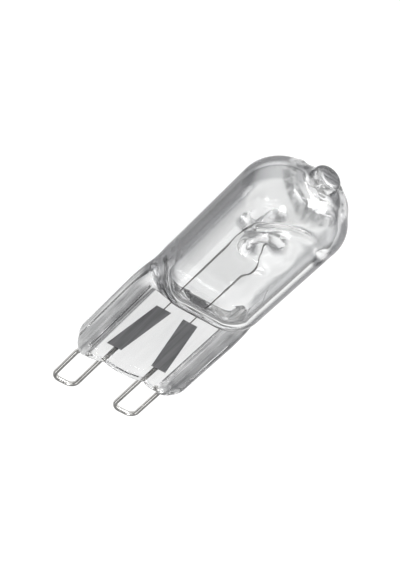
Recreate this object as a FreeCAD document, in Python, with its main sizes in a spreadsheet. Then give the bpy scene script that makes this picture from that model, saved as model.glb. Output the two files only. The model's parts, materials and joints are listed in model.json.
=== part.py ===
import FreeCAD, Part
import math
import os

import Sketcher

# A mains halogen capsule lamp, in millimetres, lying on the broad face of its flattened quartz envelope.
# +X runs from the contact loops to the exhaust tip, +Y to the lamp's left side and +Z up.
# Each piece is drawn about the seal's mid-plane, with X = 0 where the contact wires enter the glass.
# The bodies' placement then rests the lamp on Z = 0 and centres its box over the origin.

SIZES = {
    # Pinch seal, the pressed foot of the envelope: a thin web between two thicker side ribs
    "pinch_width": 15.5,
    "pinch_height": 15.6,
    "shoulder_rise": 1.2,
    "rib_width": 2.2,
    "rib_thickness": 3.5,
    "rib_rounding": 1.15,
    "web_thickness": 2.2,
    "foot_ease": 0.65,
    "bulge_drop": 0.5,
    # Blown capsule above the seal
    "capsule_width": 13.7,
    "capsule_length": 24.5,
    "capsule_thickness": 9.0,
    "foot_corner_radius": 4.3,
    "dome_corner_radius": 5.3,
    "edge_rounding": 3.4,
    "wall": 1.1,
    # Dimples pressed into both broad faces, which meet in a waist that carries the filament.
    # The upper one leans towards the exhaust tip, by an angle in degrees.
    "dimple_height": 13.7,
    "dimple_offset": 0.45,
    "dimple_lean": 21.0,
    "dimple_mouth_radius": 1.65,
    "dimple_floor_radius": 0.25,
    "dimple_membrane": 1.2,
    "dimple_lip": 1.3,
    # Exhaust tip, where the envelope was pumped out and melted shut
    "tip_length": 1.9,
    "tip_offset": -0.2,
    "tip_radius": 1.8,
    "tip_flare": 0.7,
    "tip_rounding": 0.8,
    "tip_bore_radius": 0.6,
    "tip_bore_length": 1.6,
    # Contact loops of bent wire, whose outer end is hooked back into the glass
    "contact_pitch": 9.0,
    "loop_width": 3.15,
    "loop_reach": 7.3,
    "loop_bend_radius": 1.05,
    "wire_diameter": 0.65,
    "hook_gap": 1.5,
    "hook_radius": 0.8,
    "hook_turn": 50.0,
    "hook_run": 1.3,
    # Seal foils in the web, welded to a contact loop below and to a lead above
    "foil_foot": 2.9,
    "foil_length": 9.55,
    "foil_width": 2.1,
    "foil_thickness": 0.05,
    "foil_overhang": 0.35,
    "weld_lap": 1.0,
    # Inner leads and the filament coil that hangs over the waist, with a kink in its right leg
    "lead_diameter": 0.16,
    "lead_rise": 3.8,
    "leg_spacing": 3.82,
    "coil_diameter": 0.26,
    "coil_clearance": 0.25,
    "arch_drop": 1.2,
    "kink_height": 3.65,
    "kink_step": 0.85,
    "kink_reach": 0.5,
}

# Room that a cutting profile takes beyond the solid that it cuts
OVERRUN = "1"

# Depth by which a solid reaches into another that it is fused with
BITE = "0.3"

# Length below which two places count as one
SMALL = 1e-4

LEFT_TURN = 1
RIGHT_TURN = -1
SIDES = (("left", 1), ("right", -1))

# Levels along the lamp and half sizes across it
CAPSULE_FOOT = "sizes.pinch_height"
CAPSULE_TOP = "(sizes.pinch_height + sizes.capsule_length)"
HALF_PINCH = "(sizes.pinch_width / 2)"
HALF_WEB = "(sizes.pinch_width / 2 - sizes.rib_width)"
HALF_CAPSULE = "(sizes.capsule_width / 2)"
FACE = "(sizes.capsule_thickness / 2)"
FOIL_TOP = "(sizes.foil_foot + sizes.foil_length)"
LEAD_TOP = "(sizes.pinch_height + sizes.lead_rise)"
DIMPLE_LEVEL = "(sizes.pinch_height + sizes.dimple_height)"
WELD_FACE = "-sizes.foil_thickness / 2"

# Legs of the contact loops
INNER_LEG = "((sizes.contact_pitch - sizes.loop_width) / 2)"
OUTER_LEG = "((sizes.contact_pitch + sizes.loop_width) / 2)"

# Round foot that runs from the pinch's side to the inner leg, a little flatter than a half circle
FOOT_SPAN = f"({HALF_PINCH} - {INNER_LEG})"
FOOT_RADIUS = f"({FOOT_SPAN} / 2 + sizes.foot_ease)"
FOOT_LEVEL = f"sqrt(2 * {FOOT_SPAN} * {FOOT_RADIUS} - {FOOT_SPAN} ^ 2)"
FOOT_CENTRE = f"({HALF_PINCH} - {FOOT_RADIUS})"

# Levels of the lower dimple's floor and of the end of the profile that cuts it
DIMPLE_FLOOR = "(-sizes.dimple_membrane / 2)"
DIMPLE_END = "(-sizes.capsule_thickness)"

# Slope of a dimple's wall, its length factor, its spread over the profile and the radius of the waist
SLOPE = (
    "((sizes.dimple_mouth_radius - sizes.dimple_floor_radius)"
    " / (sizes.capsule_thickness / 2 - sizes.dimple_membrane / 2))"
)
STRETCH = f"sqrt(1 + {SLOPE} ^ 2)"
SPREAD = f"{SLOPE} * ({DIMPLE_FLOOR} - {DIMPLE_END})"
WAIST = f"(sizes.dimple_floor_radius + sizes.wall * {STRETCH})"

# Filament legs
ARCH_RADIUS = f"({WAIST} + sizes.coil_diameter / 2 + sizes.coil_clearance)"
LEFT_LEG = f"(sizes.dimple_offset + {ARCH_RADIUS})"
RIGHT_LEG = f"({LEFT_LEG} - sizes.leg_spacing)"
LEGS = {"left": LEFT_LEG, "right": RIGHT_LEG}

# Placement that rests the lamp on its face, centred over the origin
LIFT = FACE
SHIFT = f"(sizes.loop_reach + sizes.wire_diameter / 2 - {CAPSULE_TOP} - sizes.tip_length) / 2"

doc = FreeCAD.newDocument("capsule_lamp")


def make_sheet():
    """Keep the driving dimensions in a spreadsheet, one named cell each."""
    sheet = doc.addObject("Spreadsheet::Sheet", "sizes")
    for row, (name, size) in enumerate(SIZES.items(), start=1):
        sheet.set(f"A{row}", name)
        sheet.set(f"B{row}", str(size))
        sheet.setAlias(f"B{row}", name)
    doc.recompute()
    return sheet


sheet = make_sheet()


def value(expression):
    """The present size of an expression over the sheet."""
    return float(sheet.evalExpression(expression))


def make_body(name):
    """An empty body at the lamp's resting place."""
    body = doc.addObject("PartDesign::Body", name)
    body.setExpression("Placement.Base.x", SHIFT)
    body.setExpression("Placement.Base.z", LIFT)
    return body


def make_sketch(body, name, plane="XY_Plane", offset=None, turn=None):
    """A sketch on one of the body's own planes.

    Any offset given moves it along its own axes, and any turn, in degrees, turns it about its normal.
    """
    sketch = body.newObject("Sketcher::SketchObject", name)
    support = next(feature for feature in body.Origin.OriginFeatures if feature.Role == plane)
    sketch.AttachmentSupport = [(support, "")]
    sketch.MapMode = "FlatFace"
    if turn:
        normal = FreeCAD.Vector(0, 0, 1)
        sketch.AttachmentOffset = FreeCAD.Placement(FreeCAD.Vector(), FreeCAD.Rotation(normal, value(turn)))
        sketch.setExpression("AttachmentOffset.Rotation.Angle", turn)
    for axis, size in (offset or {}).items():
        sketch.setExpression(f"AttachmentOffset.Base.{axis}", size)
    return sketch


def arc_between(start, end, radius, turn):
    """The shorter arc of a radius from start to end, turning left or right on its way."""
    chord = end - start
    rise = math.sqrt(max(radius ** 2 - chord.Length ** 2 / 4, 0))
    aside = FreeCAD.Vector(-chord.y, chord.x, 0).normalize()
    centre = (start + end) * 0.5 + aside * (rise * turn)
    first, last = (start, end) if turn == LEFT_TURN else (end, start)
    angles = [math.atan2(point.y - centre.y, point.x - centre.x) for point in (first, last)]
    return Part.ArcOfCircle(Part.Circle(centre, FreeCAD.Vector(0, 0, 1), radius), *angles)


def bind(sketch, kind, *ends, size):
    """Add a dimension to a sketch and bind it to an expression."""
    index = sketch.addConstraint(Sketcher.Constraint(kind, *ends, value(size)))
    sketch.setExpression(f"Constraints[{index}]", size)


def place_point(sketch, end, x, y):
    """Hold the end of a line or arc at a place given by two expressions."""
    x_axis, y_axis, origin = (-1,), (-2,), (-1, 1)
    for kind, size, axis in (("DistanceX", x, y_axis), ("DistanceY", y, x_axis)):
        if size == "0":
            sketch.addConstraint(Sketcher.Constraint("PointOnObject", *end, *axis))
        else:
            bind(sketch, kind, *origin, *end, size=size)


def draw(sketch, corners, closed=True):
    """Draw lines and arcs through corners, each given as expressions (x, y) or (x, y, turn, radius).

    A corner with a turn and a radius is left along an arc, and any other corner along a line.
    """
    points = [FreeCAD.Vector(value(corner[0]), value(corner[1]), 0) for corner in corners]
    stretches = len(corners) if closed else len(corners) - 1
    starts, ends = [], []
    for i in range(stretches):
        start, end = points[i], points[(i + 1) % len(points)]
        if len(corners[i]) == 2:
            index = sketch.addGeometry(Part.LineSegment(start, end))
            order = (1, 2)
        else:
            turn, radius = corners[i][2:]
            index = sketch.addGeometry(arc_between(start, end, value(radius), turn))
            order = (1, 2) if turn == LEFT_TURN else (2, 1)
            bind(sketch, "Radius", index, size=radius)
        starts.append((index, order[0]))
        ends.append((index, order[1]))
    for i in range(stretches - 1):
        sketch.addConstraint(Sketcher.Constraint("Coincident", *ends[i], *starts[i + 1]))
    if closed:
        sketch.addConstraint(Sketcher.Constraint("Coincident", *ends[-1], *starts[0]))
    else:
        starts.append(ends[-1])
    for end, corner in zip(starts, corners):
        place_point(sketch, end, *corner[:2])


def draw_circle(sketch, x, y, diameter):
    """A circle at a place given by expressions."""
    centre = FreeCAD.Vector(value(x), value(y), 0)
    index = sketch.addGeometry(Part.Circle(centre, FreeCAD.Vector(0, 0, 1), value(diameter) / 2))
    bind(sketch, "Diameter", index, size=diameter)
    place_point(sketch, (index, 3), x, y)


def rectangle(x_low, x_high, y_low, y_high):
    """Corners of a rectangle between expressions."""
    return [(x_low, y_low), (x_high, y_low), (x_high, y_high), (x_low, y_high)]


def pad(body, name, sketch, length, side_type="Symmetric"):
    """Extrude a sketch, by default to both sides of its plane."""
    feature = body.newObject("PartDesign::Pad", name)
    feature.Profile = sketch
    feature.SideType = side_type
    feature.setExpression("Length", length)
    return feature


def pocket_upwards(body, name, sketch):
    """Cut away all that lies on the sketch's upper side."""
    feature = body.newObject("PartDesign::Pocket", name)
    feature.Profile = sketch
    feature.Type = "ThroughAll"
    feature.Reversed = True
    return feature


def turn_profile(body, name, kind, sketch, axis):
    """Add or cut a full turn of a sketch about one of its own axes."""
    feature = body.newObject(f"PartDesign::{kind}", name)
    feature.Profile = sketch
    feature.ReferenceAxis = (sketch, [axis])
    feature.Angle = 360
    return feature


def fillet(body, name, base, radius, wanted):
    """Round the edges of the base that pass a test."""
    doc.recompute()
    names = [f"Edge{i}" for i, edge in enumerate(base.Shape.Edges, start=1) if wanted(edge)]
    feature = body.newObject("PartDesign::Fillet", name)
    feature.Base = (base, names)
    feature.setExpression("Radius", radius)
    return feature


def lies_at_height(edge, height):
    """Whether an edge lies in the plane that is a height above or below the mid-plane."""
    box = edge.BoundBox
    level = abs(box.ZMin + box.ZMax) / 2
    return box.ZLength < SMALL and abs(level - height) < SMALL


def capsule_outline(inset):
    """Rounded rectangle of the capsule, rounder at its dome, drawn in by an inset."""
    low, high = f"({CAPSULE_FOOT} + {inset})", f"({CAPSULE_TOP} - {inset})"
    half = f"({HALF_CAPSULE} - {inset})"
    foot, dome = f"(sizes.foot_corner_radius - {inset})", f"(sizes.dome_corner_radius - {inset})"
    return [
        (f"{low} + {foot}", f"-{half}"),
        (f"{high} - {dome}", f"-{half}", LEFT_TURN, dome),
        (high, f"{dome} - {half}"),
        (high, f"{half} - {dome}", LEFT_TURN, dome),
        (f"{high} - {dome}", half),
        (f"{low} + {foot}", half, LEFT_TURN, foot),
        (low, f"{half} - {foot}"),
        (low, f"{foot} - {half}", LEFT_TURN, foot),
    ]


def press_dimples(body, profile, inset):
    """Cut a dimple's half section into both broad faces of a body and round the mouths.

    The section is drawn as it opens downwards, and turned over for the dimple in the upper face.
    """
    offset = {"x": DIMPLE_LEVEL, "z": "-sizes.dimple_offset"}
    for place, turn in (("lower", None), ("upper", "180 - sizes.dimple_lean")):
        section = make_sketch(body, f"{body.Name}_{place}_section", "XZ_Plane", offset, turn)
        draw(section, profile)
        dimple = turn_profile(body, f"{body.Name}_{place}_dimple", "Groove", section, "V_Axis")
    height = value(f"{FACE} - {inset}")
    fillet(
        body, f"{body.Name}_lips", dimple, f"sizes.dimple_lip - {inset}",
        lambda edge: edge.isClosed() and lies_at_height(edge, height),
    )


def make_capsule(name, inset):
    """Flattened capsule with rounded edges, drawn in by an inset from the outer skin."""
    body = make_body(name)
    outline = make_sketch(body, f"{name}_outline")
    draw(outline, capsule_outline(inset))
    block = pad(body, f"{name}_block", outline, f"sizes.capsule_thickness - 2 * {inset}")
    height = value(f"{FACE} - {inset}")
    rounding = f"sizes.edge_rounding - {inset}"
    fillet(body, f"{name}_edges", block, rounding, lambda edge: lies_at_height(edge, height))
    return body


def make_outer_capsule():
    """Outer skin of the capsule, with its dimples."""
    body = make_capsule("capsule_skin", "0")
    press_dimples(body, [
        ("0", DIMPLE_FLOOR),
        ("sizes.dimple_floor_radius", DIMPLE_FLOOR),
        (f"sizes.dimple_floor_radius + {SPREAD}", DIMPLE_END),
        ("0", DIMPLE_END),
    ], "0")
    return body


def make_cavity():
    """Gas space inside the capsule, drawn in round the dimples and out into the exhaust tip."""
    body = make_capsule("gas_space", "sizes.wall")
    past_middle = f"-{DIMPLE_FLOOR}"
    press_dimples(body, [
        ("0", past_middle),
        (WAIST, past_middle),
        (WAIST, DIMPLE_FLOOR),
        (f"{WAIST} + {SPREAD}", DIMPLE_END),
        ("0", DIMPLE_END),
    ], "sizes.wall")
    section = make_sketch(body, "tip_bore_section", offset={"y": "sizes.tip_offset"})
    start = f"{CAPSULE_TOP} - sizes.wall - {OVERRUN}"
    draw(section, [
        (start, "0"),
        (f"{CAPSULE_TOP} - sizes.wall + sizes.tip_bore_length", "0"),
        (f"{CAPSULE_TOP} - sizes.wall", "sizes.tip_bore_radius"),
        (start, "sizes.tip_bore_radius"),
    ])
    turn_profile(body, "tip_bore", "Revolution", section, "H_Axis")
    return body


def make_ribs():
    """Rounded side ribs of the pinch seal, joined by shoulders that run into the capsule's sides."""
    body = make_body("pinch_ribs")
    shoulder = f"({CAPSULE_FOOT} + sizes.shoulder_rise)"
    neck = f"({CAPSULE_FOOT} + sizes.foot_corner_radius + {OVERRUN})"
    half_neck = f"({HALF_CAPSULE} - {BITE})"
    outline = make_sketch(body, "rib_outline")
    draw(outline, [
        (FOOT_LEVEL, f"-{HALF_PINCH}"),
        (shoulder, f"-{HALF_PINCH}"),
        (neck, f"-{half_neck}"),
        (neck, half_neck),
        (shoulder, HALF_PINCH),
        (FOOT_LEVEL, HALF_PINCH, LEFT_TURN, FOOT_RADIUS),
        (f"{FOOT_LEVEL} - {FOOT_RADIUS}", FOOT_CENTRE),
        (f"{FOOT_LEVEL} - {FOOT_RADIUS}", f"-{FOOT_CENTRE}", LEFT_TURN, FOOT_RADIUS),
    ])
    block = pad(body, "rib_block", outline, "sizes.rib_thickness")
    height, end = value("sizes.rib_thickness / 2"), value(neck)
    fillet(
        body, "rib_edges", block, "sizes.rib_rounding",
        lambda edge: lies_at_height(edge, height) and edge.BoundBox.Center.x < end - SMALL,
    )
    gap = make_sketch(body, "rib_gap")
    draw(gap, rectangle(f"-{FOOT_RADIUS}", CAPSULE_FOOT, f"-{HALF_WEB}", HALF_WEB))
    cut = pocket_upwards(body, "rib_spread", gap)
    cut.SideType = "Symmetric"
    return body


def make_web():
    """Thin web between the ribs, whose foot bulges between the places where the wires enter."""
    body = make_body("pinch_web")
    bulge_radius = f"(({INNER_LEG} ^ 2 + sizes.bulge_drop ^ 2) / (2 * sizes.bulge_drop))"
    half = f"({HALF_WEB} + {BITE})"
    side_foot = f"({FOOT_LEVEL} - sqrt({FOOT_RADIUS} ^ 2 - ({half} - {FOOT_CENTRE}) ^ 2))"
    top = f"({CAPSULE_FOOT} + {BITE})"
    outline = make_sketch(body, "web_outline")
    draw(outline, [
        (side_foot, f"-{half}"),
        (top, f"-{half}"),
        (top, half),
        (side_foot, half, LEFT_TURN, FOOT_RADIUS),
        ("0", INNER_LEG, LEFT_TURN, bulge_radius),
        ("0", f"-{INNER_LEG}", LEFT_TURN, FOOT_RADIUS),
    ])
    pad(body, "web_block", outline, "sizes.web_thickness")
    return body


def make_tip():
    """Solid nub on top of the dome, flared where it was drawn out of the glass."""
    body = make_body("exhaust_tip")
    flare_top = f"({CAPSULE_TOP} + sizes.tip_flare / 2)"
    flare_foot = f"({CAPSULE_TOP} - sizes.tip_flare / 2)"
    end = f"({CAPSULE_TOP} + sizes.tip_length)"
    root = f"({CAPSULE_TOP} - sizes.wall)"
    section = make_sketch(body, "tip_section", offset={"y": "sizes.tip_offset"})
    draw(section, [
        (root, "0"),
        (end, "0"),
        (end, "sizes.tip_radius - sizes.tip_rounding", LEFT_TURN, "sizes.tip_rounding"),
        (f"{end} - sizes.tip_rounding", "sizes.tip_radius"),
        (flare_top, "sizes.tip_radius", RIGHT_TURN, "sizes.tip_flare"),
        (flare_foot, "sizes.tip_radius + sizes.tip_flare"),
        (root, "sizes.tip_radius + sizes.tip_flare"),
    ])
    turn_profile(body, "tip_nub", "Revolution", section, "H_Axis")
    return body


def sweep_wire(body, start_level, leg, diameter, path, transition="Transformed"):
    """Sweep a round wire along a path in the mid-plane that starts along the lamp."""
    spine = make_sketch(body, f"{body.Name}_path")
    draw(spine, path, closed=False)
    section = make_sketch(body, f"{body.Name}_section", "YZ_Plane", {"z": start_level})
    draw_circle(section, leg, "0", diameter)
    doc.recompute()
    pipe = body.newObject("PartDesign::AdditivePipe", f"{body.Name}_wire")
    pipe.Profile = section
    pipe.Spine = (spine, [f"Edge{i}" for i in range(1, len(spine.Shape.Edges) + 1)])
    pipe.Transition = transition
    return pipe


def flatten_for_weld(body, leg, diameter, low, high):
    """Grind a wire flat between two levels, so that a foil lies on it."""
    flat = make_sketch(body, f"{body.Name}_flat", offset={"z": WELD_FACE})
    draw(flat, rectangle(low, high, f"{leg} - {diameter}", f"{leg} + {diameter}"))
    doc.recompute()
    pocket_upwards(body, f"{body.Name}_weld", flat)


def make_contact_loop(name, side):
    """Wire from the foil down round the loop and up again, with its end hooked into the foot."""
    body = make_body(name)
    inner, outer = f"{side} * {INNER_LEG}", f"{side} * {OUTER_LEG}"
    weld_end = "(sizes.foil_foot + sizes.weld_lap)"
    bend_level = "(sizes.loop_bend_radius - sizes.loop_reach)"
    bend = f"{side} * sizes.loop_bend_radius"
    hook_sine, hook_cosine = "sin(sizes.hook_turn * 1 deg)", "cos(sizes.hook_turn * 1 deg)"
    hook_x = f"(sizes.hook_radius * {hook_sine} - sizes.hook_gap)"
    hook_y = f"({OUTER_LEG} - sizes.hook_radius * (1 - {hook_cosine}))"
    end_x = f"({hook_x} + sizes.hook_run * {hook_cosine})"
    end_y = f"({hook_y} - sizes.hook_run * {hook_sine})"
    turn = LEFT_TURN if side < 0 else RIGHT_TURN
    path = [
        (weld_end, inner),
        (bend_level, inner, turn, "sizes.loop_bend_radius"),
        ("-sizes.loop_reach", f"{inner} + {bend}"),
        ("-sizes.loop_reach", f"{outer} - {bend}", turn, "sizes.loop_bend_radius"),
        (bend_level, outer),
        ("-sizes.hook_gap", outer, turn, "sizes.hook_radius"),
        (hook_x, f"{side} * {hook_y}"),
        (end_x, f"{side} * {end_y}"),
    ]
    sweep_wire(body, weld_end, inner, "sizes.wire_diameter", path)
    flatten_for_weld(body, inner, "sizes.wire_diameter", "sizes.foil_foot", f"{weld_end} + {OVERRUN}")
    return body


def make_foil(name, side, leg):
    """Ribbon that leans from the loop's inner leg to the lead above it."""
    body = make_body(name)
    low = f"{side} * ({INNER_LEG} + sizes.foil_overhang)"
    half = "sizes.foil_width / 2"
    outline = make_sketch(body, f"{name}_outline")
    draw(outline, [
        ("sizes.foil_foot", f"{low} - {half}"),
        (FOIL_TOP, f"{leg} - {half}"),
        (FOIL_TOP, f"{leg} + {half}"),
        ("sizes.foil_foot", f"{low} + {half}"),
    ])
    pad(body, f"{name}_ribbon", outline, "sizes.foil_thickness")
    return body


def make_lead(name, leg):
    """Straight wire from its weld on the foil up into the gas space."""
    body = make_body(name)
    weld_start = f"({FOIL_TOP} - sizes.weld_lap)"
    section = make_sketch(body, f"{name}_section", "YZ_Plane", {"z": weld_start})
    draw_circle(section, leg, "0", "sizes.lead_diameter")
    pad(body, f"{name}_wire", section, f"{LEAD_TOP} - {weld_start}", "One side")
    flatten_for_weld(body, leg, "sizes.lead_diameter", f"{weld_start} - {OVERRUN}", FOIL_TOP)
    return body


def make_filament():
    """Coil's outer form: up the left leg, over the waist and down the kinked right leg."""
    body = make_body("filament")
    kink = f"({LEAD_TOP} + sizes.kink_height)"
    right_of_arch = f"(sizes.dimple_offset - {ARCH_RADIUS})"
    path = [
        (LEAD_TOP, LEFT_LEG),
        (DIMPLE_LEVEL, LEFT_LEG, RIGHT_TURN, ARCH_RADIUS),
        (f"{DIMPLE_LEVEL} + {ARCH_RADIUS}", "sizes.dimple_offset", RIGHT_TURN, ARCH_RADIUS),
        (DIMPLE_LEVEL, right_of_arch),
        (f"{DIMPLE_LEVEL} - sizes.arch_drop", right_of_arch),
        (f"{kink} + sizes.kink_step", f"{RIGHT_LEG} - sizes.kink_reach"),
        (kink, RIGHT_LEG),
        (LEAD_TOP, RIGHT_LEG),
    ]
    sweep_wire(body, LEAD_TOP, LEFT_LEG, "sizes.coil_diameter", path, "Round corner")
    return body


def join(name, shapes):
    """One solid out of several that overlap."""
    joined = doc.addObject("Part::MultiFuse", name)
    joined.Shapes = shapes
    return joined


def make_envelope(sealed_in):
    """Glass of the capsule, seal and tip, hollowed out and moulded round what is sealed into it."""
    glass = join("glass", [make_outer_capsule(), make_ribs(), make_web(), make_tip()])
    hollows = join("hollows", [make_cavity(), *sealed_in])
    envelope = doc.addObject("Part::Cut", "quartz_envelope")
    envelope.Base = glass
    envelope.Tool = hollows
    return envelope


def make_lamp():
    """All pieces of the lamp by name."""
    pieces = {}
    for name, side in SIDES:
        pieces[f"contact_loop_{name}"] = make_contact_loop(f"contact_loop_{name}", side)
        pieces[f"seal_foil_{name}"] = make_foil(f"seal_foil_{name}", side, LEGS[name])
        pieces[f"inner_lead_{name}"] = make_lead(f"inner_lead_{name}", LEGS[name])
    pieces["quartz_envelope"] = make_envelope(list(pieces.values()))
    pieces["filament"] = make_filament()
    doc.recompute()
    return pieces


def check(pieces):
    """Stop if anything in the document failed, or a piece isn't one valid solid."""
    for feature in doc.Objects:
        if "Invalid" in feature.State or "Error" in feature.State:
            raise RuntimeError(f"{feature.Name} failed: {feature.State}")
    for name, piece in pieces.items():
        if piece.Shape.isNull() or not piece.Shape.isValid():
            raise RuntimeError(f"{name} has no valid shape")
        if len(piece.Shape.Solids) != 1:
            raise RuntimeError(f"{name} has {len(piece.Shape.Solids)} solids")


def export(pieces):
    """Write each piece to its own file."""
    os.makedirs("parts", exist_ok=True)
    for name, piece in pieces.items():
        piece.Label = name
        piece.Shape.exportStep(f"parts/{name}.step")


lamp = make_lamp()
check(lamp)
export(lamp)
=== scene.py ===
import itertools
import json
import math

import bpy
import numpy as np
from mathutils import Matrix, Vector


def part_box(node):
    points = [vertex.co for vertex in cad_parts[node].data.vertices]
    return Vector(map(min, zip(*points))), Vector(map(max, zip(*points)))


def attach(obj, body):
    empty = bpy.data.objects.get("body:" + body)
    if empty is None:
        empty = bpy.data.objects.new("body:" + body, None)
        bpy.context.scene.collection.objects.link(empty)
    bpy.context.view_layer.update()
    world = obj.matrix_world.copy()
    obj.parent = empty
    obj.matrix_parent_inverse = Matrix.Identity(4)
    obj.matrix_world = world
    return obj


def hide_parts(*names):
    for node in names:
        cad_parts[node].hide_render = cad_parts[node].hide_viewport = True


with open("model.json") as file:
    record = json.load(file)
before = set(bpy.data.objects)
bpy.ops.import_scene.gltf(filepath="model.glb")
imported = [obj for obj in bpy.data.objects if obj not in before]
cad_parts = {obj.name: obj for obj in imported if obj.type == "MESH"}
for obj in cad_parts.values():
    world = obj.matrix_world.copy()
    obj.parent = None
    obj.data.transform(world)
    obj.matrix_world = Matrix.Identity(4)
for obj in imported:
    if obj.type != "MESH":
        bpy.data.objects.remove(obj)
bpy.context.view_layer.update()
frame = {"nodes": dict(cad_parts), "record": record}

# A clear halogen capsule lamp that lies on a pale floor. The glass is one smooth surface, made from a
# field of distances in the lamp's own axes: millimetres from where the contact wires enter the glass,
# with x along the lamp to its exhaust tip, y to its left side and z up from the seal's mid-plane.
MM = 0.001
ENTRY = next(Vector(mount["pos_m"]) for mount in frame["record"]["mounts"] if mount["name"] == "loop_base")
GLASS_LOW, GLASS_HIGH = ((Vector(corner) - ENTRY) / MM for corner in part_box("quartz_envelope"))

# Pinch seal: a thin web with a scalloped foot between two thicker ribs
HALF_PINCH = GLASS_HIGH.y
PINCH_HEIGHT = 15.6
SHOULDER_RISE = 1.2
RIB_WIDTH = 2.2
HALF_RIB = 1.75
RIB_ROUNDING = 1.15
HALF_WEB = 1.1
WEB_ROUNDING = 0.5
INNER_LEG = 2.925
FOOT_EASE = 0.65
BULGE_DROP = 0.5
FOOT_SPAN = HALF_PINCH - INNER_LEG
FOOT_RADIUS = FOOT_SPAN / 2 + FOOT_EASE
FOOT_LEVEL = math.sqrt(2 * FOOT_SPAN * FOOT_RADIUS - FOOT_SPAN ** 2)
FOOT_CENTRE = HALF_PINCH - FOOT_RADIUS
BULGE_RADIUS = (INNER_LEG ** 2 + BULGE_DROP ** 2) / (2 * BULGE_DROP)

# Blown capsule
FACE = GLASS_HIGH.z
HALF_CAPSULE = 6.85
CAPSULE_LENGTH = 24.5
CAPSULE_TOP = PINCH_HEIGHT + CAPSULE_LENGTH
FOOT_CORNER = 4.3
DOME_CORNER = 5.3
EDGE_ROUNDING = 3.4
WALL = 1.1

# Dimples in both faces, with a waist between them; the upper one leans
DIMPLE_RISE = 13.7
DIMPLE_LEVEL = PINCH_HEIGHT + DIMPLE_RISE
DIMPLE_OFFSET = 0.45
DIMPLE_LEAN = math.radians(21)
DIMPLE_MOUTH = 1.65
DIMPLE_FLOOR = 0.25
HALF_MEMBRANE = 0.6
DIMPLE_LIP = 1.4
DIMPLE_SLOPE = (DIMPLE_MOUTH - DIMPLE_FLOOR) / (FACE - HALF_MEMBRANE)
DIMPLE_STRETCH = math.hypot(1, DIMPLE_SLOPE)

# Soft crease that bends round the upper dimple and runs out on the right rim
CREASE_RISE = 1.8
CREASE_LEVEL = DIMPLE_LEVEL + CREASE_RISE
CREASE_OFFSET = -1.3
CREASE_RADIUS = 4.6
CREASE_WIDTH = 0.7
CREASE_DEPTH = 0.3
CREASE_START = 1.5
CREASE_FULL = 3.0
CREASE_LOW = 1.0
CREASE_HIGH = 3.0

# Exhaust tip
TIP_END = GLASS_HIGH.x
TIP_OFFSET = -0.2
TIP_RADIUS = 1.8
TIP_ROUNDING = 0.8
TIP_FLARE = 0.9
BORE_RADIUS = 0.6
BORE_LENGTH = 1.6

# Ring of lumpy, dull glass that melting left round the exhaust tip, with its lumps as (share, count, turn)
RING_RADIUS = 3.8
RING_SWAY = 0.15
RING_LOBES = 3
RING_WIDTH = 0.4
RING_HEIGHT = 0.1
RING_LUMPS = ((0.5, 7, 0), (0.4, 12, 1))
DULL_RING_HALF = 0.6
DULL_RING_FADE = 0.3

# Glass dulled by the press, most of all on the ribs
RIB_FADE = 0.6
PRESS_FADE = 1.0
WEB_DULLNESS = 0.12

# Upright part of the skin's normal where a broad face ends and where its rim is fully turned, between which
# the rims' painted shade fades in
FLAT_FROM = 0.99
RIM_FROM = 0.85

# Reach of the soft joins between the parts of the glass
SHOULDER_JOIN = 1.2
WEB_JOIN = 0.6
FLOOR_JOIN = 0.5

# Net that finds the glass surface. Its margin is in steps, and isn't whole so that no plane of the net
# lies in a flat face. Rounds move its points onto the surface, by the field's slope over a short reach.
NET_STEP = 0.2
NET_MARGIN = 2.35
NET_ROUNDS = 6
SLOPE_REACH = 0.01
LEAST_SQUARED_SLOPE = 0.1

# Filament coil
COIL_RADIUS = 0.1
COIL_PITCH = 0.1
COIL_WIRE = 0.03
TURN_POINTS = 10
LEAD_TOP = 19.4
LEG_SPACING = 3.82
ARCH_RADIUS = 1.799
ARCH_POINTS = 41
ARCH_DROP = 1.2
KINK_LEVEL = 23.05
KINK_STEP = 0.85
KINK_REACH = 0.5


def soft_union(first, second, reach):
    """Distance to two solids that melt into each other where they meet."""
    share = np.clip(0.5 + 0.5 * (second - first) / reach, 0, 1)
    return second + (first - second) * share - reach * share * (1 - share)


def soft_overlap(first, second, reach):
    """Distance to what two solids share, with its edges melted round."""
    return -soft_union(-first, -second, reach)


def rounded_corner(first, second, radius):
    """Distance to a corner between two faces, rounded by a radius."""
    first, second = first + radius, second + radius
    outside = np.hypot(np.maximum(first, 0), np.maximum(second, 0))
    return outside + np.minimum(np.maximum(first, second), 0) - radius


def between(value, low, high):
    """Share of the way from low to high, smoothed at both ends."""
    share = np.clip((value - low) / (high - low), 0, 1)
    return share * share * (3 - 2 * share)


def crease_depth(x, y, z):
    """Depth of the crease from the upper dimple to the right rim."""
    offset = np.hypot(x - CREASE_LEVEL, y - CREASE_OFFSET) - CREASE_RADIUS
    along = between(x - CREASE_LEVEL, CREASE_START, CREASE_FULL)
    across = np.exp(-(offset / CREASE_WIDTH) ** 2)
    return CREASE_DEPTH * across * along * between(z, CREASE_LOW, CREASE_HIGH)


def dimple_radius(x, y, z):
    """Distance from the dimples' middle line, which leans towards the tip in the upper one."""
    level = DIMPLE_LEVEL + math.tan(DIMPLE_LEAN) * np.maximum(z, 0)
    return np.hypot(x - level, y - DIMPLE_OFFSET)


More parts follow.
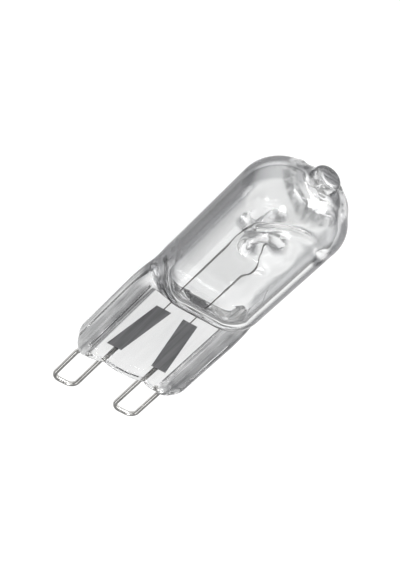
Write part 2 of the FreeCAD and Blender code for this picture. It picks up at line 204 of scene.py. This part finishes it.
def capsule_skin(x, y, z):
    """Distance to the flattened capsule with its two dimples."""
    middle = (PINCH_HEIGHT + CAPSULE_TOP) / 2
    corner = np.where(x < middle, FOOT_CORNER, DOME_CORNER)
    outline = rounded_corner(np.abs(x - middle) - CAPSULE_LENGTH / 2, np.abs(y) - HALF_CAPSULE, corner)
    capsule = rounded_corner(outline, np.abs(z) - FACE, EDGE_ROUNDING)
    capsule = capsule + crease_depth(x, y, z)
    depth = np.abs(z) - HALF_MEMBRANE
    wall = (dimple_radius(x, y, z) - DIMPLE_FLOOR - DIMPLE_SLOPE * depth) / DIMPLE_STRETCH
    dimples = soft_overlap(wall, -depth, FLOOR_JOIN)
    return soft_overlap(capsule, -dimples, DIMPLE_LIP)


def foot_lobe(x, side):
    """Distance to the round end that each side of the seal has at its foot."""
    return np.hypot(x - FOOT_LEVEL, side - FOOT_CENTRE) - FOOT_RADIUS


def seal_ribs(x, y, z):
    """Distance to the seal's ribs and the shoulders that run into the capsule's sides."""
    side = np.abs(y)
    at_lobe = (x < FOOT_LEVEL) & (side > FOOT_CENTRE)
    foot = np.where(at_lobe, foot_lobe(x, side), FOOT_LEVEL - FOOT_RADIUS - x)
    narrowing, run = HALF_PINCH - HALF_CAPSULE, FOOT_CORNER - SHOULDER_RISE
    shoulder = (x - PINCH_HEIGHT - SHOULDER_RISE) * narrowing + (side - HALF_PINCH) * run
    shoulder = shoulder / math.hypot(narrowing, run)
    flank = soft_overlap(np.maximum(side - HALF_PINCH, foot), shoulder, SHOULDER_JOIN)
    outline = np.maximum(flank, x - PINCH_HEIGHT - FOOT_CORNER - SHOULDER_JOIN)
    gap = np.maximum(side - HALF_PINCH + RIB_WIDTH, x - PINCH_HEIGHT)
    return soft_overlap(rounded_corner(outline, np.abs(z) - HALF_RIB, RIB_ROUNDING), -gap, WEB_JOIN)


def seal_web(x, y, z):
    """Distance to the thin web between the ribs, with its scalloped foot."""
    side = np.abs(y)
    bulge = np.maximum(np.hypot(x - BULGE_RADIUS + BULGE_DROP, y) - BULGE_RADIUS, side - INNER_LEG)
    foot = np.minimum(np.minimum(foot_lobe(x, side), bulge), FOOT_LEVEL - x)
    ends = np.maximum(side - HALF_PINCH + RIB_ROUNDING, x - PINCH_HEIGHT - WALL)
    return rounded_corner(np.maximum(foot, ends), np.abs(z) - HALF_WEB, WEB_ROUNDING)


def exhaust_tip(x, y, z):
    """Distance to the nub where the capsule was melted shut."""
    radius = np.hypot(y - TIP_OFFSET, z)
    past_end = np.abs(x - CAPSULE_TOP) - TIP_END + CAPSULE_TOP
    return rounded_corner(radius - TIP_RADIUS, past_end, TIP_ROUNDING)


def tip_bore(x, y, z):
    """Distance to the last of the bore through which the capsule was pumped out."""
    run = x - CAPSULE_TOP + WALL
    radius = np.hypot(y - TIP_OFFSET, z) - BORE_RADIUS * (1 - run / BORE_LENGTH)
    return np.maximum(radius, -run - WALL)


def on_dome(x):
    """Share of the dome's end, which fades out towards the broad faces."""
    return between(x, CAPSULE_TOP - EDGE_ROUNDING, CAPSULE_TOP - WALL)


def ring_offset(y, z):
    """Distance outwards from the swaying ring round the exhaust tip."""
    turn = np.arctan2(z, y - TIP_OFFSET)
    return np.hypot(y - TIP_OFFSET, z) - RING_RADIUS - RING_SWAY * np.sin(RING_LOBES * turn)


def melt_ring(x, y, z):
    """Height of the lumps along the ring on the dome."""
    turn = np.arctan2(z, y - TIP_OFFSET)
    lumps = 1 + sum(share * np.sin(count * turn + start) for share, count, start in RING_LUMPS)
    return RING_HEIGHT * lumps * np.exp(-(ring_offset(y, z) / RING_WIDTH) ** 2) * on_dome(x)


def glass_skins(points):
    """Distances to the outside of the glass and to the gas space in it."""
    x, y, z = points
    skin = capsule_skin(x, y, z)
    seal = soft_union(seal_ribs(x, y, z), seal_web(x, y, z), WEB_JOIN)
    outside = soft_union(skin, seal, SHOULDER_JOIN)
    outside = soft_union(outside, exhaust_tip(x, y, z), TIP_FLARE) - melt_ring(x, y, z)
    gas_space = soft_union(skin + WALL, tip_bore(x, y, z), BORE_RADIUS)
    return outside, gas_space


def glass_field(points):
    """Distance to the glass, below zero inside it."""
    outside, gas_space = glass_skins(points)
    return np.maximum(outside, -gas_space)


def field_slope(field, points):
    """Gradient of a field."""
    steps = SLOPE_REACH * np.eye(3)[:, :, None]
    return np.array([(field(points + step) - field(points - step)) / (2 * SLOPE_REACH) for step in steps])


def net_quads(inside, number):
    """Quads of numbered cells, one round each grid edge that crosses the surface, facing outwards."""
    quads = []
    for axis in range(3):
        lower, upper = np.delete(inside, -1, axis), np.delete(inside, 0, axis)
        for leaving in (True, False):
            edges = np.array(np.nonzero((lower == leaving) & (upper != leaving)))
            one, two = np.eye(3, dtype=int)[[(axis + 1) % 3, (axis + 2) % 3]][:, :, None]
            ring = [edges - one - two, edges - two, edges, edges - one]
            ring = ring if leaving else ring[::-1]
            quads.append(np.array([number[tuple(cell)] for cell in ring]).T)
    return np.concatenate(quads)


def net_surface(field, low, high, step):
    """Points and quads of a smooth net over a field's zero level."""
    margin = NET_MARGIN * step
    axes = [np.arange(start - margin, end + margin, step) for start, end in zip(low, high)]
    inside = field(np.array(np.meshgrid(*axes, indexing="ij"))) < 0
    cell_shape = tuple(size - 1 for size in inside.shape)
    cell_corners = list(itertools.product((0, 1), repeat=3))
    filled = np.zeros(cell_shape, int)
    for corner in cell_corners:
        filled += inside[tuple(slice(start, start + size) for start, size in zip(corner, cell_shape))]
    crossed = (filled > 0) & (filled < len(cell_corners))
    number = np.full(cell_shape, -1)
    number[crossed] = np.arange(crossed.sum())
    points = np.array([axis[:-1][index] + step / 2 for axis, index in zip(axes, np.nonzero(crossed))])
    for _ in range(NET_ROUNDS):
        slope = field_slope(field, points)
        points = points - field(points) * slope / np.maximum((slope ** 2).sum(0), LEAST_SQUARED_SLOPE)
    return points, net_quads(inside, number)


def skin_marks(points, normals):
    """Shares of the outer skin, of the rounded rims that get painted shade, and of the glass that press and
    flame left dull.
    """
    x, y, z = points
    outside, gas_space = glass_skins(points)
    undimpled = between(dimple_radius(x, y, z), DIMPLE_MOUTH, DIMPLE_MOUTH + DIMPLE_LIP)
    outer = undimpled * (np.abs(outside) < np.abs(gas_space))
    # Rounded rims, where the glass gets painted shade
    rim = between(np.abs(normals[:, 2]), FLAT_FROM, RIM_FROM)
    web_edge = HALF_PINCH - RIB_WIDTH
    on_ribs = between(np.abs(y), web_edge - RIB_FADE / 2, web_edge + RIB_FADE / 2)
    on_seal = between(x, PINCH_HEIGHT + PRESS_FADE, PINCH_HEIGHT - PRESS_FADE)
    pressed = np.maximum(on_ribs, WEB_DULLNESS) * on_seal
    ring = between(np.abs(ring_offset(y, z)), DULL_RING_HALF + DULL_RING_FADE, DULL_RING_HALF)
    return {"outer": outer, "rim": rim, "dulled": pressed + ring * on_dome(x) * outer}


def make_glass():
    """The envelope as one clear piece, in place of its CAD node."""
    points, quads = net_surface(glass_field, GLASS_LOW, GLASS_HIGH, NET_STEP)
    slope = field_slope(glass_field, points)
    normals = (slope / np.linalg.norm(slope, axis=0)).T
    mesh = bpy.data.meshes.new("envelope_glass")
    mesh.from_pydata((points.T * MM + np.array(ENTRY)).tolist(), [], quads.tolist())
    mesh.shade_smooth()
    mesh.normals_split_custom_set_from_vertices(normals.tolist())
    for name, values in skin_marks(points, normals).items():
        mark = mesh.attributes.new(name, "FLOAT", "POINT")
        mark.data.foreach_set("value", values.astype(float))
    glass = bpy.data.objects.new("envelope_glass", mesh)
    bpy.context.collection.objects.link(glass)
    glass.data.materials.append(quartz_material())
    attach(glass, "root")
    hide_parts("quartz_envelope")


def filament_path():
    """Points along the coil's middle: up the left leg, over the waist and down the kinked right leg."""
    left = DIMPLE_OFFSET + ARCH_RADIUS
    right = left - LEG_SPACING
    right_of_arch = DIMPLE_OFFSET - ARCH_RADIUS
    angles = np.linspace(0, math.pi, ARCH_POINTS)
    arch_levels = DIMPLE_LEVEL + ARCH_RADIUS * np.sin(angles)
    arch_sides = DIMPLE_OFFSET + ARCH_RADIUS * np.cos(angles)
    return np.array([
        (LEAD_TOP, left),
        *zip(arch_levels, arch_sides),
        (DIMPLE_LEVEL - ARCH_DROP, right_of_arch),
        (KINK_LEVEL + KINK_STEP, right - KINK_REACH),
        (KINK_LEVEL, right),
        (LEAD_TOP, right),
    ])


def make_filament():
    """The coiled wire, in place of the CAD node that has the coil's outer form."""
    path = filament_path()
    runs = np.linalg.norm(np.diff(path, axis=0), axis=1)
    lengths = np.concatenate([[0], np.cumsum(runs)])
    turns = lengths[-1] / COIL_PITCH
    along = np.linspace(0, lengths[-1], int(turns * TURN_POINTS))
    middle = np.array([np.interp(along, lengths, path[:, axis]) for axis in range(2)])
    heading = np.gradient(middle, axis=1)
    heading /= np.linalg.norm(heading, axis=0)
    turn = 2 * math.pi * along / COIL_PITCH
    aside = COIL_RADIUS * np.cos(turn)
    points = np.array([
        middle[0] - heading[1] * aside,
        middle[1] + heading[0] * aside,
        COIL_RADIUS * np.sin(turn),
    ])
    curve = bpy.data.curves.new("filament_coil", "CURVE")
    curve.dimensions = "3D"
    curve.bevel_depth = COIL_WIRE * MM
    curve.bevel_resolution = 0
    spline = curve.splines.new("POLY")
    spline.points.add(points.shape[1] - 1)
    places = points.T * MM + np.array(ENTRY)
    spline.points.foreach_set("co", np.column_stack([places, np.ones(len(places))]).ravel())
    coil = bpy.data.objects.new("filament_coil", curve)
    bpy.context.collection.objects.link(coil)
    coil.data.materials.append(tungsten_material())
    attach(coil, "root")
    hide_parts("filament")


# Painted shade on the quartz: greys that darken its rims on its outer and inner skin, from seen square-on
# to seen along the surface, the even painted grey of its broad faces, and the tint of either skin seen from
# within the glass
OUTER_RIM_PAINTED_SHADE = [
    (0.22, (0.8, 0.805, 0.805)),
    (0.32, (0.42, 0.425, 0.435)),
    (0.46, (0.06, 0.061, 0.065)),
    (0.8, (0.01, 0.01, 0.012)),
]
INNER_RIM_PAINTED_SHADE = [(0.33, (0.92, 0.925, 0.925)), (0.5, (0.4, 0.405, 0.415)), (0.7, (0.12, 0.122, 0.126))]
QUARTZ_FACE_PAINTED_SHADE = (0.8, 0.805, 0.805)
QUARTZ_CLEAR = (0.97, 0.972, 0.972)
QUARTZ_IOR = 1.46

# Streaky tints of dulled quartz, and the faint ripples of blown quartz, with their depth in metres
DULL_TINTS = [(0.35, (0.11, 0.112, 0.116)), (0.65, (0.45, 0.453, 0.457))]
DULL_GRAIN = 1500
DULL_STREAKS = (0.1, 1, 1)
QUARTZ_RIPPLE = 220
QUARTZ_RIPPLE_DETAIL = 2
QUARTZ_RIPPLE_DEPTH = 1.2e-5

# Tones of the metals, and how far into the glass the contact wires' tarnish starts and is full
TUNGSTEN_TONES = [(0.35, (0.14, 0.135, 0.13)), (0.65, (0.26, 0.25, 0.245))]
FOIL_TONES = [(0.3, (0.22, 0.22, 0.23)), (0.7, (0.37, 0.37, 0.38))]
WIRE_TONES = [(0.3, (0.42, 0.415, 0.405)), (0.6, (0.58, 0.575, 0.56))]
TARNISH = (0.24, 0.235, 0.23)
TARNISH_START = 0.3 * MM
TARNISH_FULL = 2.0 * MM


def new_material(name):
    """An empty node material and its main shader."""
    material = bpy.data.materials.new(name)
    material.use_nodes = True
    return material, material.node_tree, material.node_tree.nodes["Principled BSDF"]


def add_node(tree, kind, **settings):
    """A new node with its properties set."""
    node = tree.nodes.new(kind)
    for name, value in settings.items():
        setattr(node, name, value)
    return node


def mark_on(tree, name):
    """A share that the mesh keeps for each of its points."""
    return add_node(tree, "ShaderNodeAttribute", attribute_name=name).outputs["Fac"]


def noise_at(tree, scale, stretch=(1, 1, 1), detail=3):
    """Noise between 0 and 1 over an object's own coordinates, in metres."""
    place = add_node(tree, "ShaderNodeTexCoord")
    mapping = add_node(tree, "ShaderNodeMapping")
    mapping.inputs["Scale"].default_value = stretch
    noise = add_node(tree, "ShaderNodeTexNoise")
    noise.inputs["Scale"].default_value = scale
    noise.inputs["Detail"].default_value = detail
    tree.links.new(place.outputs["Object"], mapping.inputs["Vector"])
    tree.links.new(mapping.outputs["Vector"], noise.inputs["Vector"])
    return noise.outputs[0]


def blend_by(tree, value, stops):
    """Colours blended over a value between 0 and 1."""
    ramp = add_node(tree, "ShaderNodeValToRGB")
    while len(ramp.color_ramp.elements) < len(stops):
        ramp.color_ramp.elements.new(0.5)
    for element, (position, colour) in zip(ramp.color_ramp.elements, stops):
        element.position = position
        element.color = (*colour, 1)
    tree.links.new(value, ramp.inputs["Fac"])
    return ramp.outputs["Color"]


def mix_colours(tree, share, first, second):
    """A blend of two colours, each given as a colour or as a socket."""
    mix = add_node(tree, "ShaderNodeMix", data_type="RGBA")
    tree.links.new(share, mix.inputs["Factor"])
    for name, colour in (("A", first), ("B", second)):
        socket = next(item for item in mix.inputs if item.name == name and item.type == "RGBA")
        if isinstance(colour, tuple):
            socket.default_value = (*colour, 1)
        else:
            tree.links.new(colour, socket)
    return next(item for item in mix.outputs if item.type == "RGBA")


def spread(tree, value, low, high):
    """A value between 0 and 1, moved to another range."""
    node = add_node(tree, "ShaderNodeMapRange")
    node.inputs["To Min"].default_value = low
    node.inputs["To Max"].default_value = high
    tree.links.new(value, node.inputs["Value"])
    return node.outputs["Result"]


def add_bump(tree, shader, height, depth):
    """Relief on a surface, with its depth in metres."""
    bump = add_node(tree, "ShaderNodeBump")
    bump.inputs["Strength"].default_value = 1.0
    bump.inputs["Distance"].default_value = depth
    tree.links.new(height, bump.inputs["Height"])
    tree.links.new(bump.outputs["Normal"], shader.inputs["Normal"])


def quartz_material():
    """Clear quartz with faint ripples, with painted shade: its broad faces are greyed, and its rims are
    painted darker where they are seen along their surface.
    """
    material, tree, shader = new_material("quartz")
    shader.inputs["Roughness"].default_value = 0.0
    shader.inputs["IOR"].default_value = QUARTZ_IOR
    shader.inputs["Transmission Weight"].default_value = 1.0
    # Painted shade: greys that follow how far the skin is seen along its surface darken the rims, and an
    # even grey dims the broad faces
    weight = add_node(tree, "ShaderNodeLayerWeight")
    weight.inputs["Blend"].default_value = 0.5
    inner_rim_painted_shade = blend_by(tree, weight.outputs["Facing"], INNER_RIM_PAINTED_SHADE)
    outer_rim_painted_shade = blend_by(tree, weight.outputs["Facing"], OUTER_RIM_PAINTED_SHADE)
    rim_painted_shade = mix_colours(tree, mark_on(tree, "outer"), inner_rim_painted_shade, outer_rim_painted_shade)
    front_painted_shade = mix_colours(tree, mark_on(tree, "rim"), QUARTZ_FACE_PAINTED_SHADE, rim_painted_shade)
    geometry = add_node(tree, "ShaderNodeNewGeometry")
    skin_painted_shade = mix_colours(tree, geometry.outputs["Backfacing"], front_painted_shade, QUARTZ_CLEAR)
    dull_tint = blend_by(tree, noise_at(tree, DULL_GRAIN, DULL_STREAKS), DULL_TINTS)
    # The dull tint of pressed and melted glass goes over the painted shade
    dullness_and_painted_shade = mix_colours(tree, mark_on(tree, "dulled"), skin_painted_shade, dull_tint)
    tree.links.new(dullness_and_painted_shade, shader.inputs["Base Color"])
    # The painted shade also darkens the glass's reflections
    tree.links.new(skin_painted_shade, shader.inputs["Specular Tint"])
    ripple = noise_at(tree, QUARTZ_RIPPLE, detail=QUARTZ_RIPPLE_DETAIL)
    add_bump(tree, shader, ripple, QUARTZ_RIPPLE_DEPTH)
    return material


def metal_material(name, tones, roughness, grain, stretch, depth):
    """A bare metal whose tone, gloss and fine relief follow one grain."""
    material, tree, shader = new_material(name)
    shader.inputs["Metallic"].default_value = 1.0
    noise = noise_at(tree, grain, stretch)
    tree.links.new(blend_by(tree, noise, tones), shader.inputs["Base Color"])
    tree.links.new(spread(tree, noise, *roughness), shader.inputs["Roughness"])
    add_bump(tree, shader, noise, depth)
    return material


def tungsten_material():
    """Dark drawn tungsten."""
    return metal_material(
        "tungsten", TUNGSTEN_TONES, roughness=(0.35, 0.6), grain=4000, stretch=(0.3, 1, 1), depth=2e-6,
    )


def foil_material():
    """Dull molybdenum foil with lines from rolling along it."""
    return metal_material(
        "foil", FOIL_TONES, roughness=(0.4, 0.65), grain=2500, stretch=(0.04, 1, 1), depth=4e-6,
    )


def wire_material():
    """Bright nickel wire, tarnished dark where it was sealed into the hot glass."""
    material = metal_material(
        "contact_wire", WIRE_TONES, roughness=(0.12, 0.3), grain=1500, stretch=(0.3, 1, 1), depth=3e-6,
    )
    tree = material.node_tree
    shader = tree.nodes["Principled BSDF"]
    bright = shader.inputs["Base Color"].links[0].from_socket
    place = add_node(tree, "ShaderNodeTexCoord")
    split = add_node(tree, "ShaderNodeSeparateXYZ")
    sealed = add_node(tree, "ShaderNodeMapRange", interpolation_type="SMOOTHSTEP")
    sealed.inputs["From Min"].default_value = ENTRY.x + TARNISH_START
    sealed.inputs["From Max"].default_value = ENTRY.x + TARNISH_FULL
    tree.links.new(place.outputs["Object"], split.inputs["Vector"])
    tree.links.new(split.outputs["X"], sealed.inputs["Value"])
    tone = mix_colours(tree, sealed.outputs["Result"], bright, TARNISH)
    tree.links.new(tone, shader.inputs["Base Color"])
    return material


def dress_nodes():
    """Materials of the CAD nodes that stay in view."""
    dressing = {
        "contact_loop": wire_material(),
        "seal_foil": foil_material(),
        "inner_lead": tungsten_material(),
    }
    for name, material in dressing.items():
        for side in ("left", "right"):
            node = frame["nodes"][f"{name}_{side}"]
            node.data.materials.clear()
            node.data.materials.append(material)


# Camera, fitted to the photograph's outline, with its roll about the line of sight
CAMERA_AIM = Vector((1.504, 1.303, 5.014)) * MM
CAMERA_DISTANCE = 228.4 * MM
CAMERA_AZIMUTH = math.radians(29.87)
CAMERA_ELEVATION = math.radians(43.36)
CAMERA_ROLL = math.radians(-173.2)
CAMERA_SENSOR = 36.0
CAMERA_LENS = 122.45


def add_camera():
    """The photograph's camera."""
    camera = bpy.data.cameras.new("camera")
    camera.sensor_fit = "VERTICAL"
    camera.sensor_height = CAMERA_SENSOR
    camera.lens = CAMERA_LENS
    camera.clip_start = MM
    holder = bpy.data.objects.new("camera", camera)
    bpy.context.collection.objects.link(holder)
    level = math.cos(CAMERA_ELEVATION)
    toward = Vector((
        level * math.cos(CAMERA_AZIMUTH),
        level * math.sin(CAMERA_AZIMUTH),
        math.sin(CAMERA_ELEVATION),
    ))
    turned = Matrix.Rotation(CAMERA_ROLL, 4, "Z")
    holder.matrix_world = (
        Matrix.Translation(CAMERA_AIM + CAMERA_DISTANCE * toward)
        @ toward.to_track_quat("Z", "Y").to_matrix().to_4x4()
        @ turned
    )
    bpy.context.scene.camera = holder


# Floor, with its size and its drop below the lamp in metres, and the grey of the room
FLOOR_SIZE = 2.0
FLOOR_DROP = 0.05 * MM
FLOOR_COLOUR = (0.2, 0.2, 0.2, 1)
FLOOR_GLOW = 0.9
ROOM_GREY = 0.38

# Soft boxes: name, direction from the lamp, distance, width and height in metres, radiance
SOFT_BOXES = [
    ("front_box", (0.63, 0.36, 0.69), 0.6, 0.9, 0.9, 1.0),
    ("tip_box", (0.93, -0.36, 0.17), 0.4, 0.32, 0.13, 20.0),
    ("top_box", (0.05, -0.1, 1.0), 0.5, 0.30, 0.08, 10.0),
    ("side_box", (0.2, -0.9, 0.35), 0.5, 0.5, 0.35, 1.5),
    ("loop_box", (-0.63, 0.36, 0.69), 0.6, 0.3, 0.15, 2.0),
]


def add_floor():
    """A pale lit floor, a hair below the lamp so that their faces don't lie in one plane."""
    half = FLOOR_SIZE / 2
    mesh = bpy.data.meshes.new("floor")
    corners = [(x, y, -FLOOR_DROP) for x, y in ((-half, -half), (half, -half), (half, half), (-half, half))]
    mesh.from_pydata(corners, [], [(0, 1, 2, 3)])
    floor = bpy.data.objects.new("floor", mesh)
    bpy.context.collection.objects.link(floor)
    material, _, shader = new_material("floor")
    shader.inputs["Base Color"].default_value = FLOOR_COLOUR
    shader.inputs["Roughness"].default_value = 1.0
    shader.inputs["Emission Color"].default_value = (1, 1, 1, 1)
    shader.inputs["Emission Strength"].default_value = FLOOR_GLOW
    mesh.materials.append(material)


def add_lights():
    """Soft boxes in a dim grey room."""
    for name, direction, distance, width, height, radiance in SOFT_BOXES:
        light = bpy.data.lights.new(name, "AREA")
        light.shape = "RECTANGLE"
        light.size = width
        light.size_y = height
        light.energy = radiance * math.pi * width * height
        holder = bpy.data.objects.new(name, light)
        bpy.context.collection.objects.link(holder)
        toward = Vector(direction).normalized()
        holder.location = toward * distance
        holder.rotation_euler = toward.to_track_quat("Z", "Y").to_euler()
    world = bpy.data.worlds.new("studio")
    bpy.context.scene.world = world
    world.use_nodes = True
    background = world.node_tree.nodes["Background"]
    background.inputs["Color"].default_value = (ROOM_GREY, ROOM_GREY, ROOM_GREY, 1)
    background.inputs["Strength"].default_value = 1.0
    bpy.context.scene.view_settings.view_transform = "Standard"


# Bounces that light needs to find its way out of the thick glass
LIGHT_BOUNCES = 32


def lengthen_light_paths():
    """Keep thick glass from going black where light is reflected many times inside it."""
    paths = bpy.context.scene.cycles
    paths.max_bounces = LIGHT_BOUNCES
    paths.glossy_bounces = LIGHT_BOUNCES
    paths.transmission_bounces = LIGHT_BOUNCES


make_glass()
make_filament()
dress_nodes()
add_camera()
add_floor()
add_lights()
lengthen_light_paths()
